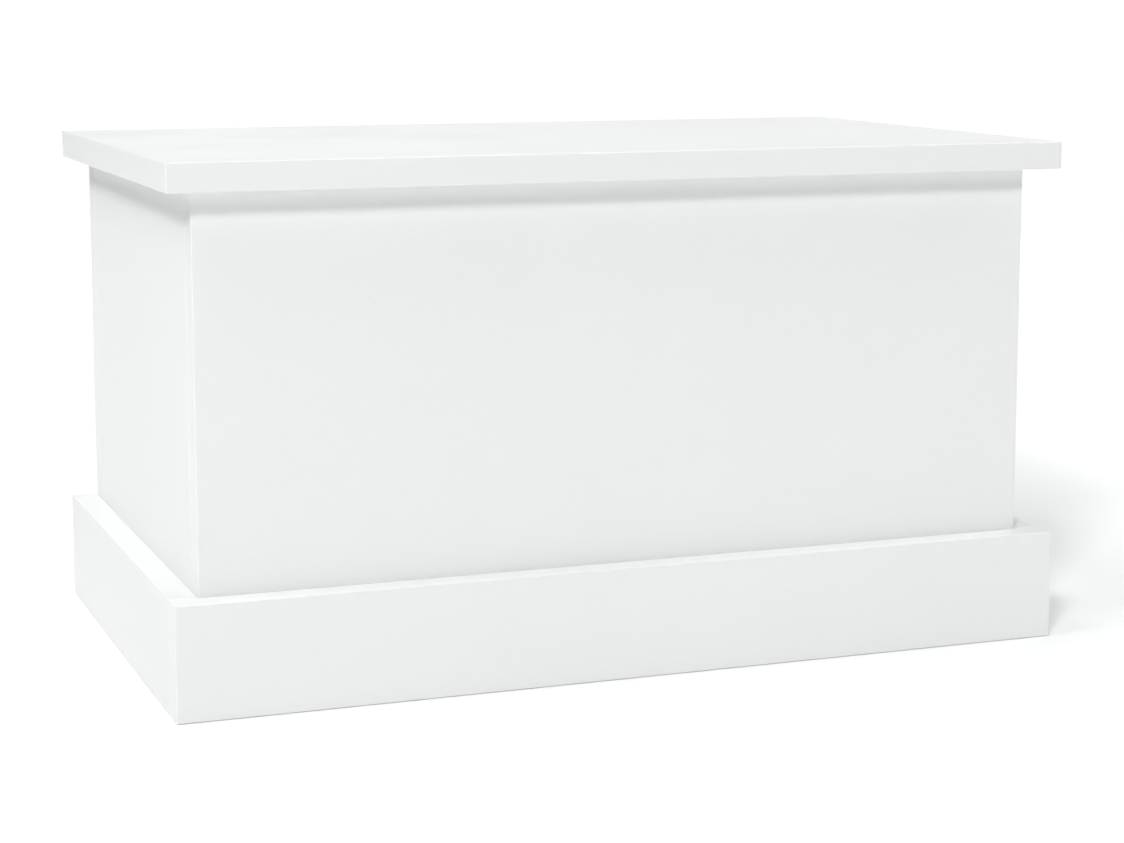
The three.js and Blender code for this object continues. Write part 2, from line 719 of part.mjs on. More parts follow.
const bracketFlange = sheetAcrossZ(
  roundedRectangle(
    BRACKET_INNER_X - BRACKET_FLANGE,
    BRACKET_OUTER_X,
    PIVOT.y - BRACKET_LENGTH / 2,
    PIVOT.y + BRACKET_LENGTH / 2,
    BRACKET_CORNER,
  ),
  BRACKET_FACE_Z,
  BRACKET_FACE_Z + STAY_SHEET,
);
const tabOutline = roundEnded(
  [PIVOT.y, BRACKET_FACE_Z + STAY_SHEET / 2 - BRACKET_TAB_WIDTH / 2],
  [PIVOT.y, PIVOT.z],
  BRACKET_TAB_WIDTH / 2,
);
const bracketTab = join(
  sheetAcrossX(tabOutline, BRACKET_INNER_X, BRACKET_OUTER_X),
  block(
    BRACKET_INNER_X,
    BRACKET_OUTER_X,
    PIVOT.y - BRACKET_TAB_WIDTH / 2,
    PIVOT.y + BRACKET_TAB_WIDTH / 2,
    PIVOT.z,
    BRACKET_FACE_Z + STAY_SHEET / 2,
  ),
);
const rivetHole = acrossX(
  RIVET_RADIUS + FIT,
  PIVOT,
  BRACKET_INNER_X - CUT_MARGIN,
  BRACKET_OUTER_X + CUT_MARGIN,
);
addDrilled('stay_lid_bracket', cut(join(bracketFlange, bracketTab), rivetHole), ZINC);

const rivetInnerFace = BRACKET_INNER_X - SEAT;
const rivetOuterFace = ARM_OUTER_X + RUN;
const rivetHeads = [
  [rivetInnerFace - RIVET_HEAD, rivetInnerFace],
  [rivetOuterFace, rivetOuterFace + RIVET_HEAD],
];
const rivetShank = acrossX(
  RIVET_RADIUS,
  PIVOT,
  rivetInnerFace - RIVET_HEAD / 2,
  rivetOuterFace + RIVET_HEAD / 2,
);
const rivetEnds = rivetHeads.map(([low, high]) => acrossX(RIVET_HEAD_RADIUS, PIVOT, low, high));
add('stay_pivot_rivet', geometryOf(join(rivetShank, ...rivetEnds)), NICKEL);

// Lid bumpers, sunk in the front panel's top edge
const bumperShape = geometryOf(
  solid(
    turned([
      [0, BUMPER_HEIGHT],
      [BUMPER_RADIUS - BUMPER_CREST, BUMPER_HEIGHT],
      [BUMPER_RADIUS, BUMPER_HEIGHT - BUMPER_CREST],
      [BUMPER_RADIUS, 0],
      [0, 0],
    ]),
  ),
);
for (const { name, ...place } of bumpers) {
  add(name, bumperShape, SOFT_PLASTIC, place);
}

export default chest;
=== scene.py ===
"""A white laminated-board toy chest, dressed for rendering around its CAD frame.

Each board becomes a core with separate glued-on edge bands, each screw gets its thread and drive, and the
hinges, cams and lid stay are remade with their real sections. Places come from the frame. Lengths are written
in millimetres, and multiplied by MM unless a comment or a docstring says that they stay in millimetres.
"""

import json
import math

import bmesh
import bpy
from mathutils import Matrix, Vector

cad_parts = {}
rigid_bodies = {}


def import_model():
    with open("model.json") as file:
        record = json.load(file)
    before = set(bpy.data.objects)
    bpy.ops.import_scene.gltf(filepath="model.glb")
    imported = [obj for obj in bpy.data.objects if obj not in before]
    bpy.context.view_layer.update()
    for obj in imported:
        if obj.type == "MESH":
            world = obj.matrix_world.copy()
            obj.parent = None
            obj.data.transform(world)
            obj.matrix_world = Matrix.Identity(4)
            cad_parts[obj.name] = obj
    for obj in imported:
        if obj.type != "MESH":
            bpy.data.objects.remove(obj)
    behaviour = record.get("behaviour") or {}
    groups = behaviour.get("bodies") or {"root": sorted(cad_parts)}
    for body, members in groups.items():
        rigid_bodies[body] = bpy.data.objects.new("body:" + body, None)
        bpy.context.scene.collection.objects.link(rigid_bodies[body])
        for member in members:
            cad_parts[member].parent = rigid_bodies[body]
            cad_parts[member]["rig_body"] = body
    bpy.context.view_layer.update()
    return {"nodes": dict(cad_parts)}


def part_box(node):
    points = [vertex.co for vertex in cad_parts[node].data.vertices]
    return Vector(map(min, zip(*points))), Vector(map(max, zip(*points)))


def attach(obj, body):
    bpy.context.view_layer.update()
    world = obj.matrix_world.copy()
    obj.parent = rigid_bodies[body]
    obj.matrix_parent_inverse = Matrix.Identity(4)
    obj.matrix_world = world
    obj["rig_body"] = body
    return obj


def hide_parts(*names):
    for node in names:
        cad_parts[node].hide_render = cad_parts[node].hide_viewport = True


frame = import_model()

MM = 0.001
X, Y, Z = 0, 1, 2
AXES = (Vector((1, 0, 0)), Vector((0, 1, 0)), Vector((0, 0, 1)))

# Boards
BAND = 1.4 * MM  # thickness of the edging
SEAM = 0.01 * MM  # between a core and its bands
ARRIS = 0.7 * MM
SAWN_ARRIS = 0.25 * MM
SEAM_ARRIS = 0.02 * MM
JOINT_TAKEN_UP = 0.26 * MM  # how far a pressed face comes out into the CAD's joint gap
ARRIS_STEPS = 4
SMOOTH_ANGLE = math.radians(32)

# Round pieces
ROUND = 48
FINE_ROUND = 64
HOLE_GAP = 0.25 * MM  # round what goes into a hole
SAME_POINT = 0.001 * MM
CUT_MARGIN = 1 * MM  # how far a cutter reaches past the face that it cuts
RUN = 0.3 * MM  # between a hinge leaf and the board beside it


# ---------------------------------------------------------------- camera, floor, light

# Places, sizes and distances in this section are in metres.

CAMERA_PLACE = (-0.4940, -1.3520, 0.3613)
CAMERA_YAW = math.radians(20.52)
CAMERA_PITCH = math.radians(-7.96)
CAMERA_LENS = 80.14
CAMERA_SHIFT = -0.07

LIGHT_TINT = (0.992, 1.0, 0.996)
SOFTBOX_DISTANCE = 6
FLOOR_RADIUS = 2.4
FLOOR_DROP = 0.2 * MM
FLOOR_TONE = (0.93, 0.935, 0.935)
FLOOR_GLOW = 0.3
GLOW_REACH = (1.0, 2.2)  # the glow grows between these distances from the middle
ROOM_ABOVE = 0.06
ROOM_BELOW = 0.44
HORIZON_BLUR = 0.03
BACKGROUND_SEEN = 1.02


def make_camera():
    data = bpy.data.cameras.new("camera")
    data.lens = CAMERA_LENS
    data.shift_y = CAMERA_SHIFT
    camera = bpy.data.objects.new("camera", data)
    bpy.context.scene.collection.objects.link(camera)
    camera.location = CAMERA_PLACE
    camera.rotation_euler = (math.pi / 2 + CAMERA_PITCH, 0, -CAMERA_YAW)
    bpy.context.scene.camera = camera


def area_light(name, towards, size, power, aim=(0, 0, 0.14)):
    """A square softbox that faces the chest from the direction (azimuth, elevation) in degrees.

    Azimuth 0 is the front and negative is to the left.
    """
    azimuth, elevation = (math.radians(a) for a in towards)
    way = Vector((
        math.sin(azimuth) * math.cos(elevation),
        -math.cos(azimuth) * math.cos(elevation),
        math.sin(elevation),
    ))
    data = bpy.data.lights.new(name, "AREA")
    data.shape = "SQUARE"
    data.size = size
    data.energy = power
    data.color = LIGHT_TINT
    lamp = bpy.data.objects.new(name, data)
    bpy.context.scene.collection.objects.link(lamp)
    lamp.location = Vector(aim) + way * SOFTBOX_DISTANCE
    lamp.rotation_euler = way.to_track_quat("Z", "Y").to_euler()


def make_world():
    """An even room, dim above and lighter below the horizon, where the floor goes on.

    The empty background is seen as white.
    """
    world = bpy.data.worlds.new("studio")
    world.use_nodes = True
    tree = world.node_tree
    background = tree.nodes["Background"]
    background.inputs["Color"].default_value = (*LIGHT_TINT, 1)
    direction = tree.nodes.new("ShaderNodeTexCoord")
    parts = tree.nodes.new("ShaderNodeSeparateXYZ")
    room = tree.nodes.new("ShaderNodeMapRange")
    room.inputs["From Min"].default_value = -HORIZON_BLUR
    room.inputs["From Max"].default_value = HORIZON_BLUR
    room.inputs["To Min"].default_value = ROOM_BELOW
    room.inputs["To Max"].default_value = ROOM_ABOVE
    seen = tree.nodes.new("ShaderNodeLightPath")
    strength = tree.nodes.new("ShaderNodeMapRange")
    strength.inputs["To Max"].default_value = BACKGROUND_SEEN
    tree.links.new(direction.outputs["Generated"], parts.inputs["Vector"])
    tree.links.new(parts.outputs["Z"], room.inputs["Value"])
    tree.links.new(room.outputs["Result"], strength.inputs["To Min"])
    tree.links.new(seen.outputs["Is Camera Ray"], strength.inputs["Value"])
    tree.links.new(strength.outputs["Result"], background.inputs["Strength"])
    bpy.context.scene.world = world


# ---------------------------------------------------------------- material building

class Shader:
    """A material's node tree with short ways to add and link nodes."""

    def __init__(self, name, slot):
        self.material = bpy.data.materials.new(name)
        self.material.use_nodes = True
        self.slot = slot
        self.nodes = self.material.node_tree.nodes
        self.links = self.material.node_tree.links
        self.principled = self.nodes["Principled BSDF"]
        self.place = self.add("ShaderNodeTexCoord").outputs["Object"]

    def add(self, kind, **settings):
        node = self.nodes.new(kind)
        for key, value in settings.items():
            setattr(node, key, value)
        return node

    def link(self, source, target):
        self.links.new(source, target)

    def set(self, **values):
        for key, value in values.items():
            self.principled.inputs[key.replace("_", " ")].default_value = value

    def stretched(self, scale, turn=(0, 0, 0)):
        """The object's coordinates, scaled differently along each axis."""
        mapping = self.add("ShaderNodeMapping")
        mapping.inputs["Scale"].default_value = scale
        mapping.inputs["Rotation"].default_value = turn
        self.link(self.place, mapping.inputs["Vector"])
        return mapping.outputs["Vector"]

    def noise(self, scale, detail=2.0, roughness=0.5, where=None, distortion=0.0):
        node = self.add("ShaderNodeTexNoise")
        node.inputs["Scale"].default_value = scale
        node.inputs["Detail"].default_value = detail
        node.inputs["Roughness"].default_value = roughness
        node.inputs["Distortion"].default_value = distortion
        self.link(where or self.place, node.inputs["Vector"])
        return node.outputs["Fac"]

    def cells(self, scale, where=None, output="Color"):
        node = self.add("ShaderNodeTexVoronoi")
        node.inputs["Scale"].default_value = scale
        self.link(where or self.place, node.inputs["Vector"])
        return node.outputs[output]

    def ramp(self, source, *stops):
        """A colour ramp from (position, grey or colour) stops."""
        node = self.add("ShaderNodeValToRGB")
        elements = node.color_ramp.elements
        while len(elements) < len(stops):
            elements.new(0.5)
        for element, (position, colour) in zip(elements, stops):
            element.position = position
            element.color = (*colour, 1) if isinstance(colour, tuple) else (colour, colour, colour, 1)
        self.link(source, node.inputs["Fac"])
        return node.outputs["Color"]

    def mix(self, factor, first, second, blend="MIX"):
        node = self.add("ShaderNodeMix", data_type="RGBA", blend_type=blend)
        values = {"Factor": factor, 6: first, 7: second}
        for key, value in values.items():
            socket = node.inputs[key]
            if isinstance(value, bpy.types.NodeSocket):
                self.link(value, socket)
            else:
                socket.default_value = value
        return node.outputs[2]

    def range(self, source, low, high, from_low=0.0, from_high=1.0):
        node = self.add("ShaderNodeMapRange")
        node.inputs["From Min"].default_value = from_low
        node.inputs["From Max"].default_value = from_high
        node.inputs["To Min"].default_value = low
        node.inputs["To Max"].default_value = high
        self.link(source, node.inputs["Value"])
        return node.outputs["Result"]

    def bump(self, height, depth, strength=1.0, below=None):
        node = self.add("ShaderNodeBump")
        node.inputs["Strength"].default_value = strength
        node.inputs["Distance"].default_value = depth
        self.link(height, node.inputs["Height"])
        if below is not None:
            self.link(below, node.inputs["Normal"])
        return node.outputs["Normal"]

    def scuffed(self, low, high):
        """Roughness in soft patches, with sparse thin scuffs that are duller."""
        patches = self.range(self.noise(14, 4, 0.6, distortion=0.4), low, high, 0.3, 0.7)
        marks = self.noise(70, 5, 0.7, where=self.stretched((1, 0.25, 2.5), (0.3, 0.5, 0.7)), distortion=1.2)
        thin = self.ramp(marks, (0.497, 0.0), (0.5, 1.0), (0.503, 0.0))
        dull = self.add("ShaderNodeMath", operation="MULTIPLY_ADD")
        dull.inputs[1].default_value = 0.12
        self.link(thin, dull.inputs[0])
        self.link(patches, dull.inputs[2])
        return dull.outputs["Value"]

    def pearl(self, scale, depth, below=None):
        """The fine texture of a pressed film."""
        grain = self.bump(self.noise(scale, 2, 0.55), depth, 0.5, below)
        return self.bump(self.noise(scale / 3, 1), depth, 0.25, grain)

    def finish(self, colour=None, roughness=None, normal=None):
        if colour is not None:
            self.link(colour, self.principled.inputs["Base Color"])
        if roughness is not None:
            self.link(roughness, self.principled.inputs["Roughness"])
        if normal is not None:
            self.link(normal, self.principled.inputs["Normal"])
        return self.material


def laminate():
    """White melamine film: a fine pearl texture, and faint differences in tone and gloss, with scuffs."""
    s = Shader("white_laminate", "white_laminate")
    s.set(Specular_IOR_Level=0.35)
    tone = s.ramp(s.noise(5, 3), (0.3, (0.862, 0.876, 0.868)), (0.7, (0.878, 0.888, 0.882)))
    speck = s.ramp(s.noise(900, 1), (0.62, 1.0), (0.75, 0.975))
    colour = s.mix(1.0, tone, speck, "MULTIPLY")
    return s.finish(colour, s.scuffed(0.44, 0.52), s.pearl(1700, 0.04 * MM))


def edge_band():
    """White plastic edging: the film's tone, with faint lines from the extruder and rubbed patches."""
    s = Shader("edge_band", "white_laminate")
    s.set(Specular_IOR_Level=0.4)
    tone = s.ramp(s.noise(9, 3), (0.3, (0.86, 0.873, 0.866)), (0.7, (0.875, 0.886, 0.88)))
    rubbed = s.ramp(s.noise(120, 5, 0.7), (0.66, 1.0), (0.74, (0.965, 0.955, 0.94)))
    colour = s.mix(1.0, tone, rubbed, "MULTIPLY")
    lines = s.bump(s.noise(500, 2, where=s.stretched((0.04, 0.04, 1))), 0.02 * MM, 0.35)
    return s.finish(colour, s.scuffed(0.4, 0.5), s.pearl(1100, 0.02 * MM, below=lines))


def chipboard():
    """Sawn particleboard: pressed chips in several browns, rough and open."""
    s = Shader("chipboard", "white_laminate")
    s.set(Specular_IOR_Level=0.2)
    chips = s.cells(520, s.stretched((1, 1, 1.7)))
    tint = s.ramp(chips, (0.1, (0.30, 0.19, 0.095)), (0.45, (0.52, 0.37, 0.21)), (0.8, (0.67, 0.52, 0.33)))
    dust = s.ramp(s.noise(1500, 3), (0.35, 0.8), (0.65, 1.05))
    colour = s.mix(1.0, tint, dust, "MULTIPLY")
    rough = s.bump(s.noise(900, 4, 0.7), 0.15 * MM, 0.8)
    return s.finish(colour, s.range(chips, 0.75, 0.95), rough)


def plated(name, slot, light, dark, gloss, brushed):
    """Plated steel, brushed or spangled, with polishing lines and duller patches."""
    s = Shader(name, slot)
    s.set(Metallic=1.0, Specular_IOR_Level=0.5)
    patches = s.noise(160, 4, 0.6) if brushed else s.cells(420, output="Distance")
    colour = s.ramp(patches, (0.2, dark), (0.8, light))
    low, high = gloss
    roughness = s.range(s.noise(90, 4, 0.65, distortion=0.3), low, high, 0.3, 0.7)
    lines = s.noise(2600, 2, where=s.stretched((0.05, 1, 1)) if brushed else None)
    normal = s.bump(lines, 0.006 * MM, 0.5)
    pits = s.bump(s.noise(700, 3), 0.01 * MM, 0.35, below=normal)
    return s.finish(colour, roughness, pits)


def beech():
    s = Shader("beech_wood", "beech")
    grain = s.noise(700, 4, 0.6, where=s.stretched((1, 0.05, 1)), distortion=0.6)
    colour = s.ramp(grain, (0.3, (0.50, 0.32, 0.17)), (0.55, (0.66, 0.46, 0.27)), (0.75, (0.76, 0.58, 0.38)))
    return s.finish(colour, s.range(grain, 0.55, 0.75), s.bump(grain, 0.05 * MM, 0.5))


def soft_plastic():
    s = Shader("soft_plastic", "soft_plastic")
    s.set(Subsurface_Weight=0.35, Subsurface_Scale=2 * MM, Specular_IOR_Level=0.4)
    colour = s.ramp(s.noise(300, 3), (0.3, (0.74, 0.77, 0.76)), (0.7, (0.82, 0.84, 0.83)))
    return s.finish(colour, s.range(s.noise(500, 3), 0.4, 0.6), s.bump(s.noise(1800, 2), 0.02 * MM, 0.4))


def floor_paint():
    """Pale paint, lit a little from within towards the rim so that the rim meets the white background."""
    s = Shader("pale_floor", None)
    s.set(Specular_IOR_Level=0.1)
    colour = s.ramp(s.noise(2, 2), (0.3, FLOOR_TONE), (0.7, tuple(c + 0.01 for c in FLOOR_TONE)))
    reach = s.add("ShaderNodeVectorMath", operation="LENGTH")
    s.link(s.place, reach.inputs[0])
    glow = s.range(reach.outputs["Value"], 0, FLOOR_GLOW, *GLOW_REACH)
    s.set(Emission_Color=(1, 1, 1, 1))
    s.link(glow, s.principled.inputs["Emission Strength"])
    return s.finish(colour, s.range(s.noise(6, 3), 0.75, 0.85))


LAMINATE = laminate()
EDGING = edge_band()
CHIPBOARD = chipboard()
NICKEL = plated("nickel_plate", "nickel_plate", (0.80, 0.78, 0.74), (0.70, 0.68, 0.64), (0.2, 0.36), True)
ZINC = plated("zinc_plate", "zinc_plate", (0.72, 0.74, 0.77), (0.60, 0.62, 0.66), (0.3, 0.48), False)
BEECH = beech()
SOFT_PLASTIC = soft_plastic()


# ---------------------------------------------------------------- mesh building

def new_object(name, mesh):
    piece = bpy.data.objects.new(name, mesh)
    bpy.context.scene.collection.objects.link(piece)
    return piece


def mesh_of(bm, name):
    bmesh.ops.recalc_face_normals(bm, faces=bm.faces)
    mesh = bpy.data.meshes.new(name)
    bm.to_mesh(mesh)
    bm.free()
    return mesh


def made_of(material, piece):
    """The piece in one material throughout."""
    piece.data.materials.clear()
    piece.data.materials.append(material)
    return piece


def applied(piece):
    """The piece's mesh with its modifiers applied; the modifiers are taken off."""
    bpy.context.view_layer.update()
    shown = piece.evaluated_get(bpy.context.evaluated_depsgraph_get())
    mesh = bpy.data.meshes.new_from_object(shown)
    piece.modifiers.clear()
    piece.data = mesh
    return piece


def smooth(piece, angle=SMOOTH_ANGLE):
    """Smooth shading that keeps flat faces flat and edges over the angle sharp."""
    mesh = piece.data
    mesh.polygons.foreach_set("use_smooth", [True] * len(mesh.polygons))
    mesh.set_sharp_from_angle(angle=angle)
    weighted = piece.modifiers.new("flat faces stay flat", "WEIGHTED_NORMAL")
    weighted.keep_sharp = True
    weighted.weight = 90
    return piece


def boolean(piece, operation, *tools):
    """Joins or cuts the piece with tools, which are removed. Faces that a tool leaves keep its material."""
    for tool in tools:
        step = piece.modifiers.new("boolean", "BOOLEAN")
        step.operation = operation
        step.solver = "MANIFOLD"
        step.material_mode = "TRANSFER"
        step.object = tool
    applied(piece)
    for tool in tools:
        bpy.data.objects.remove(tool)
    return piece


def block(name, low, high, material):
    """A block between two corners."""
    bm = bmesh.new()
    size = [h - l for l, h in zip(low, high)]
    middle = Vector([(l + h) / 2 for l, h in zip(low, high)])
    bmesh.ops.create_cube(bm, size=1, matrix=Matrix.Translation(middle) @ Matrix.Diagonal((*size, 1)))
    return made_of(material, new_object(name, mesh_of(bm, name)))


def join_loops(bm, first, second):
    """A band of four-sided faces between two closed loops of equally many vertices."""
    count = len(first)
    for k in range(count):
        after = (k + 1) % count
        bm.faces.new((first[k], first[after], second[after], second[k]))


def revolve(name, profile, material, rings=ROUND):
    """A solid turned about Z from (radius, height) points in millimetres that start and end on the axis."""
    bm = bmesh.new()
    turns = [2 * math.pi * k / rings for k in range(rings)]
    loops = []
    for radius, height in profile:
        r, z = radius * MM, height * MM
        if radius <= 0:
            loops.append([bm.verts.new((0, 0, z))])
        else:
            loops.append([bm.verts.new((r * math.cos(a), r * math.sin(a), z)) for a in turns])
    for first, second in zip(loops, loops[1:]):
        for k in range(rings):
            ring = [first[k % len(first)], first[(k + 1) % len(first)]]
            ring += [second[(k + 1) % len(second)], second[k % len(second)]]
            corners = list(dict.fromkeys(ring))
            if len(corners) > 2:
                bm.faces.new(corners)
    return made_of(material, new_object(name, mesh_of(bm, name)))


def placed(piece, at, into):
    """Moves a piece made about Z, so that its origin is at a point and its -Z side points in a direction."""
    turn = Vector((0, 0, -1)).rotation_difference(Vector(into)).to_matrix().to_4x4()
    piece.data.transform(Matrix.Translation(Vector(at)) @ turn)
    return piece


def sheet(name, outline, holes, low, high, axis, material, edge=0.15 * MM):
    """Flat stock between two levels along an axis, from a closed outline and holes given as lists of points.

    The outline's two coordinates are along the two axes that follow the thickness axis in X, Y, Z order.
    """
    data = bpy.data.curves.new(name, "CURVE")
    data.dimensions = "2D"
    data.fill_mode = "BOTH"
    data.extrude = (high - low) / 2 - edge
    data.bevel_depth = edge
    data.bevel_resolution = 1
    data.offset = -edge
    for points in (outline, *holes):
        spline = data.splines.new("POLY")
        spline.points.add(len(points) - 1)
        for target, (u, v) in zip(spline.points, points):
            target.co = (u, v, 0, 1)
        spline.use_cyclic_u = True
    curve = bpy.data.objects.new(name, data)
    bpy.context.scene.collection.objects.link(curve)
    bpy.context.view_layer.update()
    mesh = bpy.data.meshes.new_from_object(curve.evaluated_get(bpy.context.evaluated_depsgraph_get()))
    bpy.data.objects.remove(curve)
    bm = bmesh.new()
    bm.from_mesh(mesh)
    bmesh.ops.remove_doubles(bm, verts=bm.verts, dist=SAME_POINT)
    bmesh.ops.dissolve_degenerate(bm, edges=bm.edges, dist=SAME_POINT)
    first, second = AXES[(axis + 1) % 3], AXES[(axis + 2) % 3]
    basis = Matrix((first, second, AXES[axis])).transposed().to_4x4()
    bm.transform(Matrix.Translation(AXES[axis] * ((low + high) / 2)) @ basis)
    return made_of(material, new_object(name, mesh_of(bm, name)))


def prism(name, outline, low, high, axis, material):
    """A sharp-edged bar of any section between two levels along an axis; the outline is as for a sheet."""
    bm = bmesh.new()
    first, second = AXES[(axis + 1) % 3], AXES[(axis + 2) % 3]
    rings = []
    for level in (low, high):
        rings.append([bm.verts.new(first * u + second * v + AXES[axis] * level) for u, v in outline])
    caps = [bm.faces.new(ring) for ring in rings]
    join_loops(bm, *rings)
    bmesh.ops.triangulate(bm, faces=caps)
    return made_of(material, new_object(name, mesh_of(bm, name)))


def softened(piece, width):
    """Takes the sharpness off every hard edge."""
    edges = piece.modifiers.new("softened", "BEVEL")
    edges.limit_method = "ANGLE"
    edges.angle_limit = math.radians(50)
    edges.width = width
    edges.segments = 2
    return applied(piece)


def arc(centre, radius, start, end, steps):
    """Points on an arc between two angles in degrees."""
    angles = [math.radians(start + (end - start) * k / steps) for k in range(steps + 1)]
    return [(centre[0] + radius * math.cos(a), centre[1] + radius * math.sin(a)) for a in angles]


def circle(centre, radius, steps=ROUND):
    return arc(centre, radius, 0, 360, steps)[:-1]


def round_ended(start, end, radius, steps=16):
    """The outline of a bar with round ends."""
    along = math.degrees(math.atan2(end[1] - start[1], end[0] - start[0]))
    near_end = arc(start, radius, along + 90, along + 270, steps)
    return near_end + arc(end, radius, along - 90, along + 90, steps)


def rounded_rectangle(low, high, radius, steps=6):
    (x0, y0), (x1, y1) = low, high
    corners = [((x1, y1), 0), ((x0, y1), 90), ((x0, y0), 180), ((x1, y0), 270)]
    inward = {0: (-1, -1), 90: (1, -1), 180: (1, 1), 270: (-1, 1)}
    points = []
    for (x, y), turn in corners:
        dx, dy = inward[turn]
        points += arc((x + dx * radius, y + dy * radius), radius, turn, turn + 90, steps)
    return points


def dress(piece, body, slot, *nodes):
    """Gives a finished piece its body and hides the CAD nodes that it stands for; the material slot is not
    used.
    """
    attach(piece, body)
    if nodes:
        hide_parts(*nodes)


# ---------------------------------------------------------------- places of the hardware

def centre_of(node):
    low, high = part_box(node)
    return (low + high) / 2


def screw_place(node, into):
    """Where a CAD screw's head face is, and the direction that it is driven in."""
    low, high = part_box(node)
    way = Vector(into)
    head = centre_of(node)
    for axis in (X, Y, Z):
        if way[axis]:
            head[axis] = low[axis] if way[axis] > 0 else high[axis]
    return head, way


LEFTWARD, RIGHTWARD, FORWARD = (-1, 0, 0), (1, 0, 0), (0, -1, 0)
UPWARD, DOWNWARD = (0, 0, 1), (0, 0, -1)
OUTWARD = {"left": LEFTWARD, "right": RIGHTWARD}
INWARD = {"left": RIGHTWARD, "right": LEFTWARD}
SIDES = ("left", "right")
LEVELS = ("lower", "upper")
ENDS = ("front", "rear")

PANEL_SCREWS = {f"rear_screw_{s}_{v}": FORWARD for s in SIDES for v in LEVELS}
PANEL_SCREWS |= {f"bottom_screw_{s}_{e}": INWARD[s] for s in SIDES for e in ENDS}
PLINTH_SCREWS = {f"plinth_screw_front_{s}": FORWARD for s in SIDES}
FRONT_PLINTH_SCREWS = list(PLINTH_SCREWS)
PLINTH_SCREWS |= {f"plinth_screw_{s}_{e}": OUTWARD[s] for s in SIDES for e in ENDS}
SMALL_SCREWS = {f"hinge_screw_{s}_lid_{k}": UPWARD for s in SIDES for k in "ab"}
SMALL_SCREWS |= {f"hinge_screw_{s}_body_{k}": DOWNWARD for s in SIDES for k in "ab"}
SMALL_SCREWS |= {f"stay_lid_screw_{e}": UPWARD for e in ENDS}
SMALL_SCREWS |= {f"stay_side_screw_{e}": RIGHTWARD for e in ENDS}

ON_LID = {n for n, o in frame["nodes"].items() if o["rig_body"] == "lid"}

# Sizes of the screws and other fittings, in millimetres; widths are radii. The plain stretch is the part of
# the length above the thread, and its shank is as thick as the thread's crest unless a size says otherwise.
SMALL = {
    "head": 2.8, "head_depth": 1.4, "core": 1.05, "crest": 1.5,
    "length": 12, "pitch": 1.1, "plain": 1.8, "tip": 3,
}
PLINTH = {
    "head": 4.0, "head_depth": 2.4, "core": 1.4, "crest": 2.0,
    "length": 25, "pitch": 1.6, "plain": 4, "tip": 4,
}
PANEL = {
    "head": 4.8, "head_depth": 3.0, "core": 1.7, "crest": 2.4, "shank": 3.2,
    "length": 45, "pitch": 2.4, "plain": 14, "tip": 3,
}
CAM_RADIUS = 7.3
CAM_SINK = 0.15
CAM_FLOOR_GAP = 0.3
BOLT_BORE = 4.0
BOLT_THREAD = 2.9
DOWEL_RADIUS = 4.0


def screw_hole(size, at, into):
    """The hole that a screw needs, countersunk at its mouth."""
    gap = HOLE_GAP / MM
    shank = size.get("shank", size["crest"]) + gap
    profile = [
        (0, CUT_MARGIN / MM),
        (size["head"] + gap, CUT_MARGIN / MM),
        (size["head"] + gap, 0),
        (shank, -size["head_depth"] - gap),
        (shank, -size["plain"]),
        (size["crest"] + gap, -size["plain"] - gap),
        (size["crest"] + gap, -size["length"] - gap),
        (0, -size["length"] - gap),
    ]
    return placed(revolve("hole", profile, CHIPBOARD, 32), at, into)


def cam_pocket(face, depth, into):
    """The round pocket for a cam, from outside a panel's face down to its floor."""
    radius = CAM_RADIUS + HOLE_GAP / MM
    top, bottom = CUT_MARGIN / MM, -depth / MM - CAM_FLOOR_GAP
    profile = [(0, top), (radius, top), (radius, bottom), (0, bottom)]
    return placed(revolve("hole", profile, CHIPBOARD, FINE_ROUND), face, into)


def cam_places(side):
    """(cam's face centre, cam's depth) of the cams in one side panel."""
    for level in LEVELS:
        low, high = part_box(f"cam_lock_{side}_{level}")
        face = (low + high) / 2
        face.x = high.x if side == "left" else low.x
        yield face, (high.x - low.x)


def bolt_bores(side):
    """Bores along Y in a side panel's front edge, from the cam to the front panel."""
    for level in LEVELS:
        low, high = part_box(f"cam_bolt_{side}_{level}")
        yield cylinder_along(Y, (low + high) / 2, BOLT_BORE * MM, low.y, high.y + HOLE_GAP)


def cylinder_along(axis, centre, radius, start, end, material=CHIPBOARD, rings=ROUND):
    """A round bar along an axis between two levels."""
    at = Vector(centre)
    at[axis] = start
    length = (end - start) / MM
    profile = [(0, 0), (radius / MM, 0), (radius / MM, -length), (0, -length)]
    return placed(revolve("bar", profile, material, rings), at, AXES[axis])


